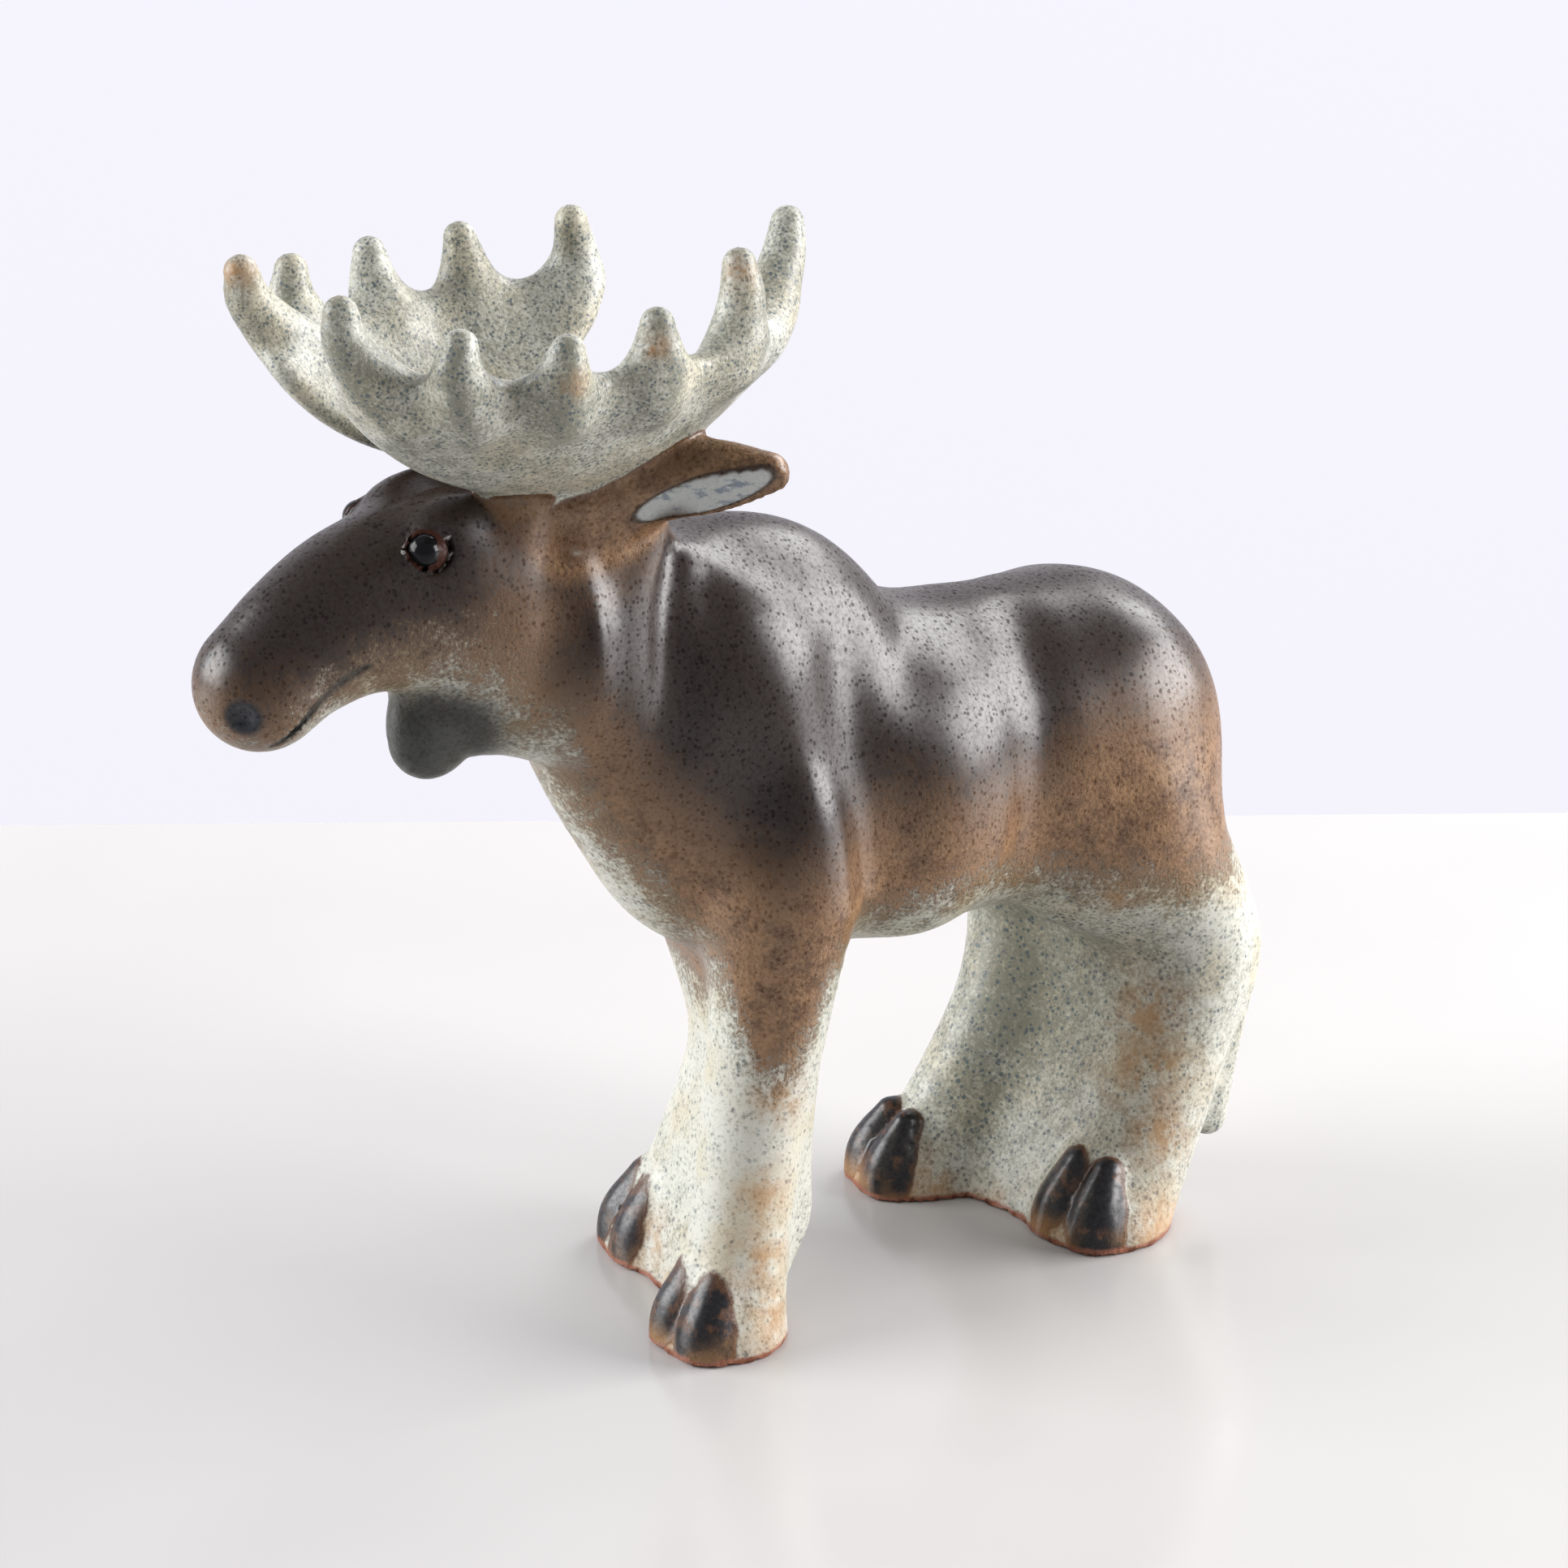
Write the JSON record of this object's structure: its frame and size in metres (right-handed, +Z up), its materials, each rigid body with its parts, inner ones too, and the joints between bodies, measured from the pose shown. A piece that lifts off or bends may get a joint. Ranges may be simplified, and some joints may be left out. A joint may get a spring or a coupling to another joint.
{
  "type": "moose figurine",
  "caption": "Standing moose figurine in speckled stoneware glaze with cupped palmate antlers, paired webbed legs and flat soles",
  "frame": {"origin": "middle of the figure's box in plan, at the level of its soles", "axes": "+Z up, -Y the way the moose looks, +X its left side"},
  "size_m": [0.0902, 0.2404, 0.2309],
  "materials": {
    "stoneware_glaze": "satin speckled stoneware glaze, brown over celadon"
  },
  "bodies": {
    "root": {"moose": "stoneware_glaze"}
  },
  "joints": []
}
